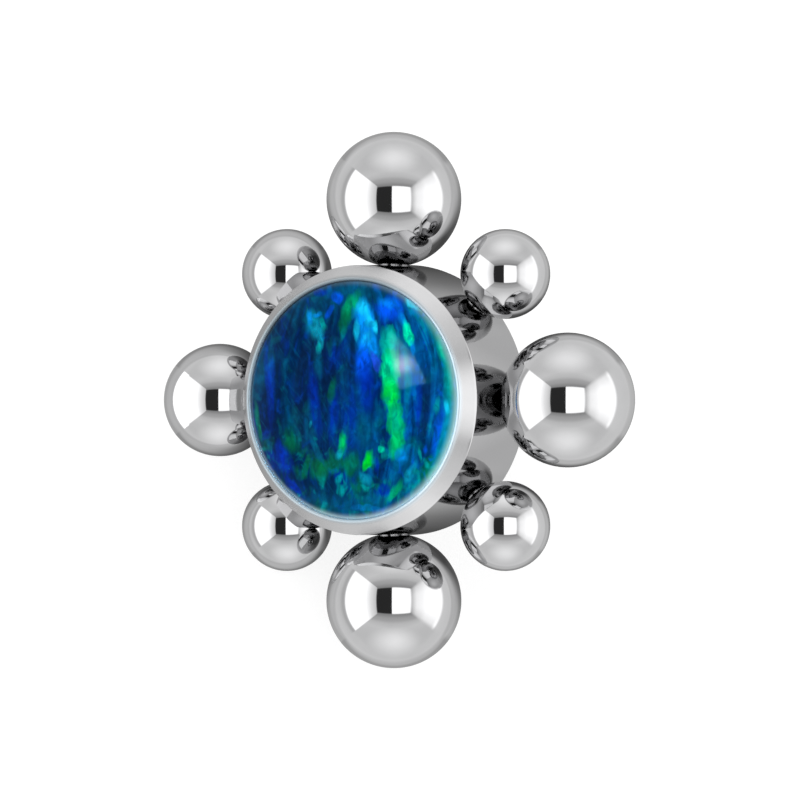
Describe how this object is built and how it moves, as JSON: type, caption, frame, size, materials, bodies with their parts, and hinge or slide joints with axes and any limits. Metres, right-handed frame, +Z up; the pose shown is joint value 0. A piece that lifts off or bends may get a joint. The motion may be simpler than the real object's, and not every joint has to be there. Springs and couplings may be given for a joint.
{
  "type": "threaded piercing top",
  "caption": "Screw-on top for body jewellery: a round bezel cup holding a domed blue-green opal, ringed by soldered balls of graded size, with a short threaded post at its back.",
  "frame": {"origin": "middle of the outline's box, on the surface that the top lies on", "axes": "+Z up from that surface; -Y towards the side from which the picture looks, 30 degrees round from the face; +X to that view's right"},
  "size_m": [0.0052, 0.0054, 0.0037],
  "materials": {
    "polished_steel": "polished",
    "lab_opal": "polished"
  },
  "bodies": {
    "root": {"bezel_setting": "polished_steel", "opal_cabochon": "lab_opal", "threaded_post": "polished_steel"}
  },
  "joints": []
}
